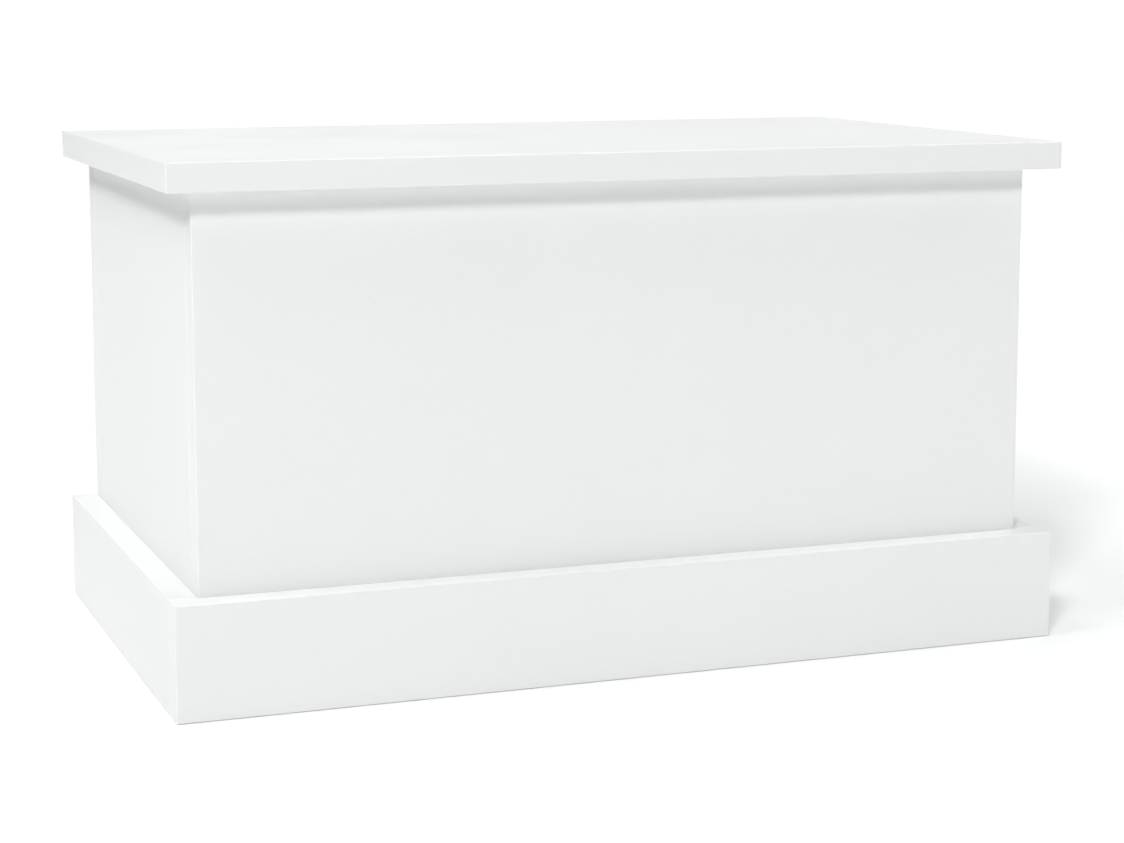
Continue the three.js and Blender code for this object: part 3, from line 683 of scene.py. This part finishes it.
def holes_in(node):
    """Cutting shapes for everything that goes into one board."""
    cutters = []

    def screws(places, names, size):
        for name in names:
            cutters.append(screw_hole(size, *screw_place(name, places[name])))

    side = node.split("_")[0]
    if node == "back_panel":
        screws(PANEL_SCREWS, [n for n in PANEL_SCREWS if n.startswith("rear")], PANEL)
        screws(SMALL_SCREWS, [n for n in SMALL_SCREWS if "_body_" in n], SMALL)
    elif node == "lid_panel":
        screws(SMALL_SCREWS, [n for n in SMALL_SCREWS if "_lid_" in n], SMALL)
    elif node == "front_panel":
        screws(PLINTH_SCREWS, FRONT_PLINTH_SCREWS, PLINTH)
        for s in SIDES:
            for level in LEVELS:
                for kind, radius in (("cam_bolt", BOLT_THREAD), ("corner_dowel", DOWEL_RADIUS)):
                    low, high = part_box(f"{kind}_{s}_{level}")
                    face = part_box("front_panel")[1].y
                    cutters.append(cylinder_along(
                        Y, (low + high) / 2, radius * MM + HOLE_GAP, low.y - HOLE_GAP, face + CUT_MARGIN))
            low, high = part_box(f"{s}_lid_bumper")
            radius = (high.x - low.x) / 2 + HOLE_GAP
            cutters.append(cylinder_along(Z, (low + high) / 2, radius, low.z - HOLE_GAP, high.z + CUT_MARGIN))
    elif node.endswith("side_panel"):
        screws(PLINTH_SCREWS, [f"plinth_screw_{side}_{e}" for e in ENDS], PLINTH)
        screws(PANEL_SCREWS, [n for n in PANEL_SCREWS if f"_{side}_" in n], PANEL)
        if side == "right":
            screws(SMALL_SCREWS, [f"stay_side_screw_{e}" for e in ENDS], SMALL)
        for face, depth in cam_places(side):
            cutters.append(cam_pocket(face, depth, OUTWARD[side]))
        cutters += bolt_bores(side)
        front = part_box(node)[0].y
        for level in LEVELS:
            low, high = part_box(f"corner_dowel_{side}_{level}")
            cutters.append(cylinder_along(
                Y, (low + high) / 2, DOWEL_RADIUS * MM + HOLE_GAP, front - CUT_MARGIN, high.y + HOLE_GAP))
    elif node == "bottom_panel":
        screws(PANEL_SCREWS, [n for n in PANEL_SCREWS if n.startswith("bottom")], PANEL)
    elif node == "front_plinth":
        screws(PLINTH_SCREWS, FRONT_PLINTH_SCREWS, PLINTH)
    elif node.endswith("_plinth"):
        screws(PLINTH_SCREWS, [f"plinth_screw_{side}_{e}" for e in ENDS], PLINTH)
    return cutters


# ---------------------------------------------------------------- boards

# Each board's thickness axis, then the edges that carry a band, those with full-length bands first.
BOARDS = {
    "lid_panel": (Z, [(X, -1), (X, 1), (Y, -1), (Y, 1)]),
    "front_panel": (Y, [(X, -1), (X, 1), (Z, 1)]),
    "back_panel": (Y, [(X, -1), (X, 1), (Z, 1)]),
    "left_side_panel": (X, [(Y, -1), (Y, 1), (Z, 1)]),
    "right_side_panel": (X, [(Y, -1), (Y, 1), (Z, 1)]),
    "bottom_panel": (Z, []),
    "front_plinth": (Y, [(X, -1), (X, 1), (Z, 1)]),
    "left_plinth": (X, [(Y, -1), (Y, 1), (Z, 1)]),
    "right_plinth": (X, [(Y, -1), (Y, 1), (Z, 1)]),
}
# Faces that are screwed tight against another board, where the CAD keeps a fitting gap. Behind the front
# plinth's ends both boards' faces are on the list, and their bands cross by 0.22 mm there.
PRESSED = {
    "left_side_panel": [(Y, -1), (Y, 1)],
    "right_side_panel": [(Y, -1), (Y, 1)],
    "bottom_panel": [(X, -1), (X, 1), (Y, -1), (Y, 1)],
    "front_plinth": [(Y, 1)],
    "left_plinth": [(X, 1), (Y, -1)],
    "right_plinth": [(X, -1), (Y, -1)],
}
EDGE_NAMES = {(X, -1): "left", (X, 1): "right", (Y, -1): "front", (Y, 1): "rear", (Z, 1): "top"}


def weighted_edges(piece, low, high, outer_low, outer_high, thickness, banded):
    """Rounds the block's edges, by where they lie on the board.

    They are full arrises on the outside, sawn ones at edges without a band, and fine ones at seams.
    """
    mesh = piece.data
    weights = mesh.attributes.new("bevel_weight_edge", "FLOAT", "EDGE")
    tolerance = 0.01 * MM
    for edge in mesh.edges:
        a, b = (mesh.vertices[i].co for i in edge.vertices)
        along = max((X, Y, Z), key=lambda axis: abs(a[axis] - b[axis]))
        sides = []
        for axis in (X, Y, Z):
            if axis == along:
                continue
            sign = 1 if a[axis] > (low[axis] + high[axis]) / 2 else -1
            limit = outer_high[axis] if sign > 0 else outer_low[axis]
            outside = abs(a[axis] - limit) < tolerance
            finished = axis == thickness or (axis, sign) in banded
            sides.append((outside, finished))
        if not all(outside for outside, _ in sides):
            size = SEAM_ARRIS
        elif all(finished for _, finished in sides):
            size = ARRIS
        else:
            size = SAWN_ARRIS
        weights.data[edge.index].value = size / ARRIS
    rounding = piece.modifiers.new("arrises", "BEVEL")
    rounding.limit_method = "WEIGHT"
    rounding.width = ARRIS
    rounding.segments = ARRIS_STEPS
    applied(piece)


def make_board(node, thickness, banded):
    outer_low, outer_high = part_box(node)
    for axis, sign in PRESSED.get(node, []):
        side = outer_high if sign > 0 else outer_low
        side[axis] += sign * JOINT_TAKEN_UP
    low, high = outer_low.copy(), outer_high.copy()
    body = "lid" if node in ON_LID else "box"
    pieces = []
    for axis, sign in banded:
        band_low, band_high = low.copy(), high.copy()
        if sign > 0:
            band_low[axis] = high[axis] - BAND
            high[axis] -= BAND + SEAM
        else:
            band_high[axis] = low[axis] + BAND
            low[axis] += BAND + SEAM
        band = block(f"{node}_band_{EDGE_NAMES[axis, sign]}", band_low, band_high, EDGING)
        weighted_edges(band, band_low, band_high, outer_low, outer_high, thickness, banded)
        pieces.append(band)
    core = block(node + "_board", low, high, LAMINATE)
    core.data.materials.append(CHIPBOARD)
    for face in core.data.polygons:
        axis = max((X, Y, Z), key=lambda k: abs(face.normal[k]))
        sawn = axis != thickness and (axis, 1 if face.normal[axis] > 0 else -1) not in banded
        face.material_index = 1 if sawn else 0
    weighted_edges(core, low, high, outer_low, outer_high, thickness, banded)
    cutters = holes_in(node)
    touched = [p for p in pieces if any(boxes_meet(p, c) for c in cutters)]
    for band in touched:
        copies = [copy_of(c) for c in cutters if boxes_meet(band, c)]
        boolean(band, "DIFFERENCE", *copies)
    if cutters:
        boolean(core, "DIFFERENCE", *cutters)
    for piece in (core, *pieces):
        smooth(piece)
    dress(core, body, "white_laminate", node)
    for band in pieces:
        dress(band, body, "white_laminate")


def corners_of(piece):
    points = [v.co for v in piece.data.vertices]
    return [min(p[k] for p in points) for k in range(3)], [max(p[k] for p in points) for k in range(3)]


def boxes_meet(first, second):
    (a0, a1), (b0, b1) = corners_of(first), corners_of(second)
    return all(a0[k] < b1[k] and b0[k] < a1[k] for k in range(3))


def copy_of(piece):
    return new_object(piece.name, piece.data.copy())


# ---------------------------------------------------------------- screws, dowels and cam fittings

THREAD_ROWS = 8  # along one pitch
THREAD_RINGS = 32
THREAD_RUN_IN = 6  # rows over which the thread grows to its full height
HEAD_RIM = 0.12


def threaded(name, size, material):
    """A countersunk screw about Z with its head's face at the origin, a real helical thread and a point."""
    bm = bmesh.new()
    shank = size.get("shank", size["crest"])
    rows = [
        (size["head"] - HEAD_RIM, 0.0, 0),
        (size["head"], -HEAD_RIM, 0),
        (size["head"] - 0.05, -HEAD_RIM - 0.2, 0),
        (shank, -size["head_depth"], 0),
        (shank, -size["plain"], 0),
    ]
    start = size["plain"]
    turned_length = size["length"] - start
    count = max(2, round(turned_length / size["pitch"] * THREAD_ROWS))
    for k in range(1, count):
        depth = start + turned_length * k / count
        left = size["length"] - depth
        taper = min(1.0, left / size["tip"])
        thread = (size["crest"] - size["core"]) * min(1.0, k / THREAD_RUN_IN) * taper
        rows.append((size["core"] * taper + 0.02, -depth, thread))
    loops = []
    for radius, height, thread in rows:
        loop = []
        for k in range(THREAD_RINGS):
            turn = k / THREAD_RINGS
            phase = (-height / size["pitch"] + turn) % 1.0
            ridge = max(0.0, 1 - abs(phase - 0.5) * 4)
            r = (radius + thread * ridge) * MM
            angle = 2 * math.pi * turn
            loop.append(bm.verts.new((r * math.cos(angle), r * math.sin(angle), height * MM)))
        loops.append(loop)
    for first, second in zip(loops, loops[1:]):
        join_loops(bm, first, second)
    bm.faces.new(loops[0])
    point = bm.verts.new((0, 0, -size["length"] * MM))
    for k in range(THREAD_RINGS):
        bm.faces.new((loops[-1][k], loops[-1][(k + 1) % THREAD_RINGS], point))
    return made_of(material, new_object(name, mesh_of(bm, name)))


def cross_recess(width, arm, depth, material):
    """Cutters for a cross-shaped driver recess about Z, two slots that narrow towards their floor."""
    tools = []
    for turn in range(2):
        bm = bmesh.new()
        half, side = width / 2 * MM, arm / 2 * MM
        top, floor = 0.5 * MM, -depth * MM
        corners = []
        for height, scale in ((top, 1.1), (floor, 0.5)):
            for u, v in ((-half, -side), (half, -side), (half, side), (-half, side)):
                corners.append(bm.verts.new((u * scale, v * (0.6 + 0.4 * scale), height)))
        bm.faces.new(corners[:4])
        bm.faces.new(corners[4:])
        join_loops(bm, corners[:4], corners[4:])
        bm.transform(Matrix.Rotation(math.pi / 2 * turn, 4, "Z"))
        tools.append(made_of(material, new_object("recess", mesh_of(bm, "recess"))))
    return tools


def hexagon_recess(across, depth, material):
    """A cutter for a hexagon socket about Z, measured across its corners, with a drilled point."""
    profile = [(0, 0.5), (across / 2, 0.5), (across / 2, -depth), (0.3, -depth - 0.4), (0, -depth - 0.4)]
    return [revolve("recess", profile, material, 6)]


def make_screws(places, size, material, slot, recess):
    """One finished screw mesh, copied to each place."""
    pattern = threaded("screw", size, material)
    boolean(pattern, "DIFFERENCE", *recess)
    for node, into in places.items():
        piece = new_object(node + "_threaded", pattern.data.copy())
        placed(piece, *screw_place(node, into))
        smooth(piece)
        dress(piece, "lid" if node in ON_LID else "box", slot, node)
    bpy.data.objects.remove(pattern)


def make_cams():
    """Cam locks, a hair below the panel's face, with a driver cross, a ring and a tick at the rim."""
    for side in SIDES:
        for level, (face, depth) in zip(LEVELS, cam_places(side)):
            node = f"cam_lock_{side}_{level}"
            low = -depth / MM
            ring = [(5.6, 0), (5.75, -0.2), (6.05, -0.2), (6.2, 0)]
            rim = [(CAM_RADIUS - 0.4, 0), (CAM_RADIUS - 0.1, -0.3), (CAM_RADIUS, -0.6)]
            profile = [(radius, height - CAM_SINK) for radius, height in [(0, 0), *ring, *rim]]
            profile += [(CAM_RADIUS, low + 0.4), (CAM_RADIUS - 0.4, low), (0, low)]
            cam = placed(revolve(node + "_cast", profile, ZINC, FINE_ROUND), face, OUTWARD[side])
            cross = [placed(t, face, OUTWARD[side]) for t in cross_recess(8.6, 1.9, 2.6, ZINC)]
            tick = block("tick", (-0.35 * MM, 4.55 * MM, -0.45 * MM), (0.35 * MM, 5.5 * MM, 0.5 * MM), ZINC)
            low_bolt, high_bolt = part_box(f"cam_bolt_{side}_{level}")
            middle = (low_bolt + high_bolt) / 2
            bore = cylinder_along(
                Y, middle, (BOLT_BORE - 0.3) * MM, low_bolt.y, high_bolt.y + 0.2 * MM, ZINC)
            boolean(cam, "DIFFERENCE", *cross, placed(tick, face, OUTWARD[side]), bore)
            dress(smooth(cam), "box", "zinc_plate", node)


def make_cam_bolts():
    """Cam bolts, from the ball head that the cam grips to the collar and the thread in the front panel."""
    head = [(0, 0), (2.9, 0), (3.3, -0.5), (3.3, -2.5), (2.8, -3)]
    neck = [(1.8, -3.2), (1.8, -6.8), (2.5, -7.5)]
    collar = [(2.5, 12.4), (3.6, 12.2), (3.6, 10.9), (2.3, 10.7)]  # heights from the tip
    thread = 10.2
    pitch = 1.7
    root = 2.3
    for side in SIDES:
        for level in LEVELS:
            node = f"cam_bolt_{side}_{level}"
            low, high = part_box(node)
            centre = (low + high) / 2
            length = (high.y - low.y) / MM
            profile = head + neck + [(radius, height - length) for radius, height in collar]
            for k in range(int(thread / pitch)):
                top = -length + thread - k * pitch
                profile += [(root, top - 0.3), (BOLT_THREAD, top - 0.75)]
                profile += [(BOLT_THREAD, top - 0.95), (root, top - 1.4)]
            profile += [(1.6, -length), (0, -length)]
            bolt = revolve(node + "_turned", profile, ZINC)
            placed(bolt, Vector((centre.x, high.y, centre.z)), FORWARD)
            dress(smooth(bolt), "box", "zinc_plate", node)


def make_dowels():
    """Fluted beech dowels with chamfered ends."""
    flutes = 18
    flute_depth = 0.05  # a share of the radius
    for side in SIDES:
        for level in LEVELS:
            node = f"corner_dowel_{side}_{level}"
            low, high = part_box(node)
            centre = (low + high) / 2
            length = (high.y - low.y) / MM
            profile = [(0, 0), (3.1, 0), (3.9, -0.9), (3.9, -length + 0.9), (3.1, -length), (0, -length)]
            dowel = revolve(node + "_fluted", profile, BEECH, flutes * 4)
            for vertex in dowel.data.vertices:
                turn = math.atan2(vertex.co.y, vertex.co.x)
                groove = 0.5 - 0.5 * math.cos(turn * flutes)
                vertex.co.x *= 1 - flute_depth * groove
                vertex.co.y *= 1 - flute_depth * groove
            placed(dowel, Vector((centre.x, high.y, centre.z)), FORWARD)
            dress(smooth(dowel), "box", "beech", node)


# ---------------------------------------------------------------- hinges

def make_hinges():
    """Butt hinges: a flat leaf with rolled knuckles for each half, and a pin with a domed head."""
    knuckles = 5
    play = 0.15 * MM  # at each end of a knuckle
    bore = 1.45 * MM
    thickness = 0.8 * MM
    slit_level = 1.35 * MM  # where the rolled sheet's end meets the leaf, from the pin's middle
    slit_half_width = 0.07 * MM
    slit_reach = (1.9 * MM, 1.0 * MM)
    edge = 0.08 * MM
    domed_head = [(0, 0), (0.9, -0.1), (1.6, -0.35), (1.95, -0.7), (1.95, -0.95), (1.2, -1.1)]
    for side in SIDES:
        body_low, body_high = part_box(f"{side}_hinge_body_leaf")
        pin_low, pin_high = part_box(f"{side}_hinge_pin")
        axis = (pin_low + pin_high) / 2
        outer = body_high.y - axis.y
        start, end = body_low.x, body_high.x
        pitch = (end - start) / knuckles
        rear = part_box("back_panel")[1].y
        for leaf in ("lid", "body"):
            node = f"{side}_hinge_{leaf}_leaf"
            low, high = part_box(node)
            own = [k for k in range(knuckles) if (k % 2 == 0) == (leaf == "body")]
            if leaf == "lid":
                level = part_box("lid_panel")[0].z - RUN - thickness
            else:
                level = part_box("back_panel")[1].z + RUN
            outline = leaf_outline(start, end, low.y, rear - RUN, axis.y, own, pitch, play)
            plate = prism(node + "_rolled", outline, level, level + thickness, Z, NICKEL)
            rolls = []
            for k in own:
                first = start + k * pitch + (0 if k == 0 else play)
                last = start + (k + 1) * pitch - (0 if k == knuckles - 1 else play)
                rolls.append(cylinder_along(X, axis, outer, first, last, NICKEL, FINE_ROUND))
            boolean(plate, "UNION", *rolls)
            cutters = [cylinder_along(X, axis, bore, start - CUT_MARGIN, end + CUT_MARGIN, NICKEL)]
            turn = 1 if leaf == "lid" else -1
            slit_z = axis.z + turn * slit_level
            slit_low = (start - CUT_MARGIN, axis.y - slit_reach[0], slit_z - slit_half_width)
            slit_high = (end + CUT_MARGIN, axis.y - slit_reach[1], slit_z + slit_half_width)
            cutters.append(block("slit", slit_low, slit_high, NICKEL))
            for name in SMALL_SCREWS:
                if name.startswith(f"hinge_screw_{side}_{leaf}"):
                    cutters.append(screw_hole(SMALL, *screw_place(name, SMALL_SCREWS[name])))
            boolean(plate, "DIFFERENCE", *cutters)
            softened(plate, edge)
            made_of(NICKEL, plate)
            dress(smooth(plate), "lid" if leaf == "lid" else "box", "nickel_plate", node)
        length = (pin_high.x - pin_low.x) / MM
        profile = domed_head + [(1.2, -length + 0.4), (0.8, -length), (0, -length)]
        pin = revolve(f"{side}_hinge_pin_headed", profile, NICKEL, 32)
        placed(pin, Vector((pin_low.x, axis.y, axis.z)), RIGHTWARD)
        dress(smooth(pin), "box", "nickel_plate", f"{side}_hinge_pin")


def leaf_outline(start, end, near, step, axis_y, own, pitch, play):
    """A leaf's outline in the X-Y plane, with rounded inner corners and tongues out to its own knuckles."""
    radius = 2 * MM
    points = arc((start + radius, near + radius), radius, 180, 270, 6)
    points += arc((end - radius, near + radius), radius, 270, 360, 6)
    tongue = axis_y - 1.0 * MM
    points.append((end, step))
    inset = play + 0.08 * MM
    for k in sorted(own, reverse=True):
        right = start + (k + 1) * pitch - inset
        left = start + k * pitch + inset
        points += [(right, step), (right, tongue), (left, tongue), (left, step)]
    points.append((start, step))
    return points


# ---------------------------------------------------------------- lid stay

def make_stay():
    """The lid stay: a slotted arm on the bracket's rivet, and the headed stud on a plate in its slot."""
    arm_width = 14 * MM
    arm_hole = 2.8 * MM
    plate_hole = 2.7 * MM
    plate_end = 8 * MM
    stud_low, stud_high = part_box("stay_stud")
    rivet_low, rivet_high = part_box("stay_pivot_rivet")
    stud = (stud_low + stud_high) / 2
    pivot = (rivet_low + rivet_high) / 2

    # The arm is one flat bar: its slot starts where the stud sits with the lid shut.
    low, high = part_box("stay_arm")
    way = Vector((stud.y - pivot.y, stud.z - pivot.z)).normalized()
    reach = (pivot.z - low.z - arm_width / 2) / -way.y
    shut = (Vector((stud.y, stud.z)) - Vector((pivot.y, pivot.z))).length

    def along(distance):
        return (pivot.y + way.x * distance, pivot.z + way.y * distance)

    outline = round_ended(along(0), along(reach), arm_width / 2, 24)
    slot = round_ended(along(shut), along(reach), arm_hole)
    holes = [slot, circle(along(0), arm_hole)]
    arm = sheet("stay_arm_pressed", outline, holes, low.x, high.x, X, ZINC)
    dress(smooth(arm), "stay_arm", "zinc_plate", "stay_arm")

    low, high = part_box("stay_side_plate")
    ends = [(low.y + plate_end, stud.z), (high.y - plate_end, stud.z)]
    outline = round_ended(*ends, plate_end, 24)
    plate = sheet("stay_side_plate_pressed", outline, [], low.x, high.x, X, ZINC)
    cutters = [cylinder_along(X, stud, plate_hole, low.x - CUT_MARGIN, high.x + CUT_MARGIN, ZINC)]
    cutters += [screw_hole(SMALL, *screw_place(f"stay_side_screw_{e}", RIGHTWARD)) for e in ENDS]
    boolean(plate, "DIFFERENCE", *cutters)
    made_of(ZINC, plate)
    dress(smooth(plate), "box", "zinc_plate", "stay_side_plate")

    head = 4.6
    length = (stud_high.x - stud_low.x) / MM
    profile = [(0, 0), (head - 1.6, 0), (head - 0.7, -0.2), (head - 0.15, -0.6), (head, -1.0)]
    profile += [(head - 0.1, -1.5), (2.5, -1.5), (2.5, -length), (0, -length)]
    piece = revolve("stay_stud_turned", profile, NICKEL, FINE_ROUND)
    placed(piece, Vector((stud_low.x, stud.y, stud.z)), RIGHTWARD)
    dress(smooth(piece), "box", "nickel_plate", "stay_stud")

    length = (rivet_high.x - rivet_low.x) / MM
    dome = [(0, 0), (1.8, -0.08), (3.0, -0.3), (3.7, -0.65), (4.0, -1.0), (2.5, -1.0)]
    profile = dome + [(radius, -length - height) for radius, height in reversed(dome)]
    piece = revolve("stay_pivot_rivet_domed", profile, NICKEL, FINE_ROUND)
    placed(piece, Vector((rivet_low.x, pivot.y, pivot.z)), RIGHTWARD)
    dress(smooth(piece), "lid", "nickel_plate", "stay_pivot_rivet")

    make_bracket(pivot)


def make_bracket(pivot):
    """The lid bracket: sheet steel bent to an angle, with a rounded tab that holds the rivet."""
    low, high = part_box("stay_lid_bracket")
    sheet_steel = 1.5 * MM
    outer_bend = 2.2 * MM
    tab_half_width = 8 * MM
    corner = 3 * MM
    rivet_hole = 2.7 * MM
    inner_bend = outer_bend - sheet_steel
    centre = (high.x - outer_bend, high.z - outer_bend)
    # Z first and X second, as the axes that follow Y
    section = [(z, x) for x, z in [
        (low.x, high.z - sheet_steel),
        *arc(centre, inner_bend, 90, 0, 6),
        (high.x - sheet_steel, low.z),
        (high.x, low.z),
        *arc(centre, outer_bend, 0, 90, 10),
        (low.x, high.z),
    ]]
    bracket = prism("stay_lid_bracket_bent", section, low.y, high.y, Y, ZINC)
    shoulder = high.z - outer_bend - 0.6 * MM
    side_view = [(high.y + CUT_MARGIN, high.z + CUT_MARGIN), (low.y - CUT_MARGIN, high.z + CUT_MARGIN)]
    side_view += [(low.y - CUT_MARGIN, shoulder), (pivot.y - tab_half_width, shoulder)]
    side_view += arc((pivot.y, pivot.z), tab_half_width, 180, 360, 24)
    side_view += [(pivot.y + tab_half_width, shoulder), (high.y + CUT_MARGIN, shoulder)]
    keep_tab = prism("keep", side_view, low.x - CUT_MARGIN, high.x + CUT_MARGIN, X, ZINC)
    boolean(bracket, "INTERSECT", keep_tab)
    plan = rounded_rectangle((low.x, low.y), (high.x + corner, high.y), corner)
    keep_plan = prism("keep", plan, low.z - CUT_MARGIN, high.z + CUT_MARGIN, Z, ZINC)
    boolean(bracket, "INTERSECT", keep_plan)
    softened(bracket, 0.12 * MM)
    cutters = [cylinder_along(X, pivot, rivet_hole, high.x - 3 * MM, high.x + CUT_MARGIN, ZINC)]
    cutters += [screw_hole(SMALL, *screw_place(f"stay_lid_screw_{e}", UPWARD)) for e in ENDS]
    boolean(bracket, "DIFFERENCE", *cutters)
    made_of(ZINC, bracket)
    dress(smooth(bracket), "lid", "zinc_plate", "stay_lid_bracket")


def make_bumpers():
    """Soft bumpers with a domed crest, sunk in the front panel's top edge."""
    for side in SIDES:
        node = f"{side}_lid_bumper"
        low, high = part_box(node)
        centre = (low + high) / 2
        radius, height = (high.x - low.x) / 2 / MM, (high.z - low.z) / MM
        crest = arc((0, 0), 1, 90, 0, 8)
        profile = [(0, 0)]
        for x, y in crest[1:]:
            profile.append((radius * (0.55 + 0.45 * x), height * (0.35 + 0.65 * y) - height))
        profile += [(radius, -height), (0, -height)]
        bumper = revolve(node + "_moulded", profile, SOFT_PLASTIC, FINE_ROUND)
        placed(bumper, Vector((centre.x, centre.y, high.z)), DOWNWARD)
        dress(smooth(bumper), "box", "soft_plastic", node)


# ---------------------------------------------------------------- the whole scene

def make_floor():
    bm = bmesh.new()
    bmesh.ops.create_circle(bm, cap_ends=True, radius=FLOOR_RADIUS, segments=128)
    floor = new_object("floor", mesh_of(bm, "floor"))
    floor.location.z = -FLOOR_DROP
    floor.data.materials.append(floor_paint())


make_camera()
make_world()
area_light("left_softbox", (-88, 57), 3.0, 162)
area_light("front_key", (-36, 34), 0.9, 168)
area_light("right_softbox", (80, 40), 3.6, 159)
area_light("rear_softbox", (175, 60), 3.6, 122)
bpy.context.scene.view_settings.view_transform = "Standard"
make_floor()

for board_node, (board_axis, board_bands) in BOARDS.items():
    make_board(board_node, board_axis, board_bands)
make_screws(PANEL_SCREWS, PANEL, ZINC, "zinc_plate", hexagon_recess(4.4, 2.4, ZINC))
make_screws(PLINTH_SCREWS, PLINTH, ZINC, "zinc_plate", cross_recess(4.2, 0.9, 1.5, ZINC))
make_screws(SMALL_SCREWS, SMALL, NICKEL, "nickel_plate", cross_recess(3.0, 0.62, 1.0, NICKEL))
make_cams()
make_cam_bolts()
make_dowels()
make_hinges()
make_stay()
make_bumpers()
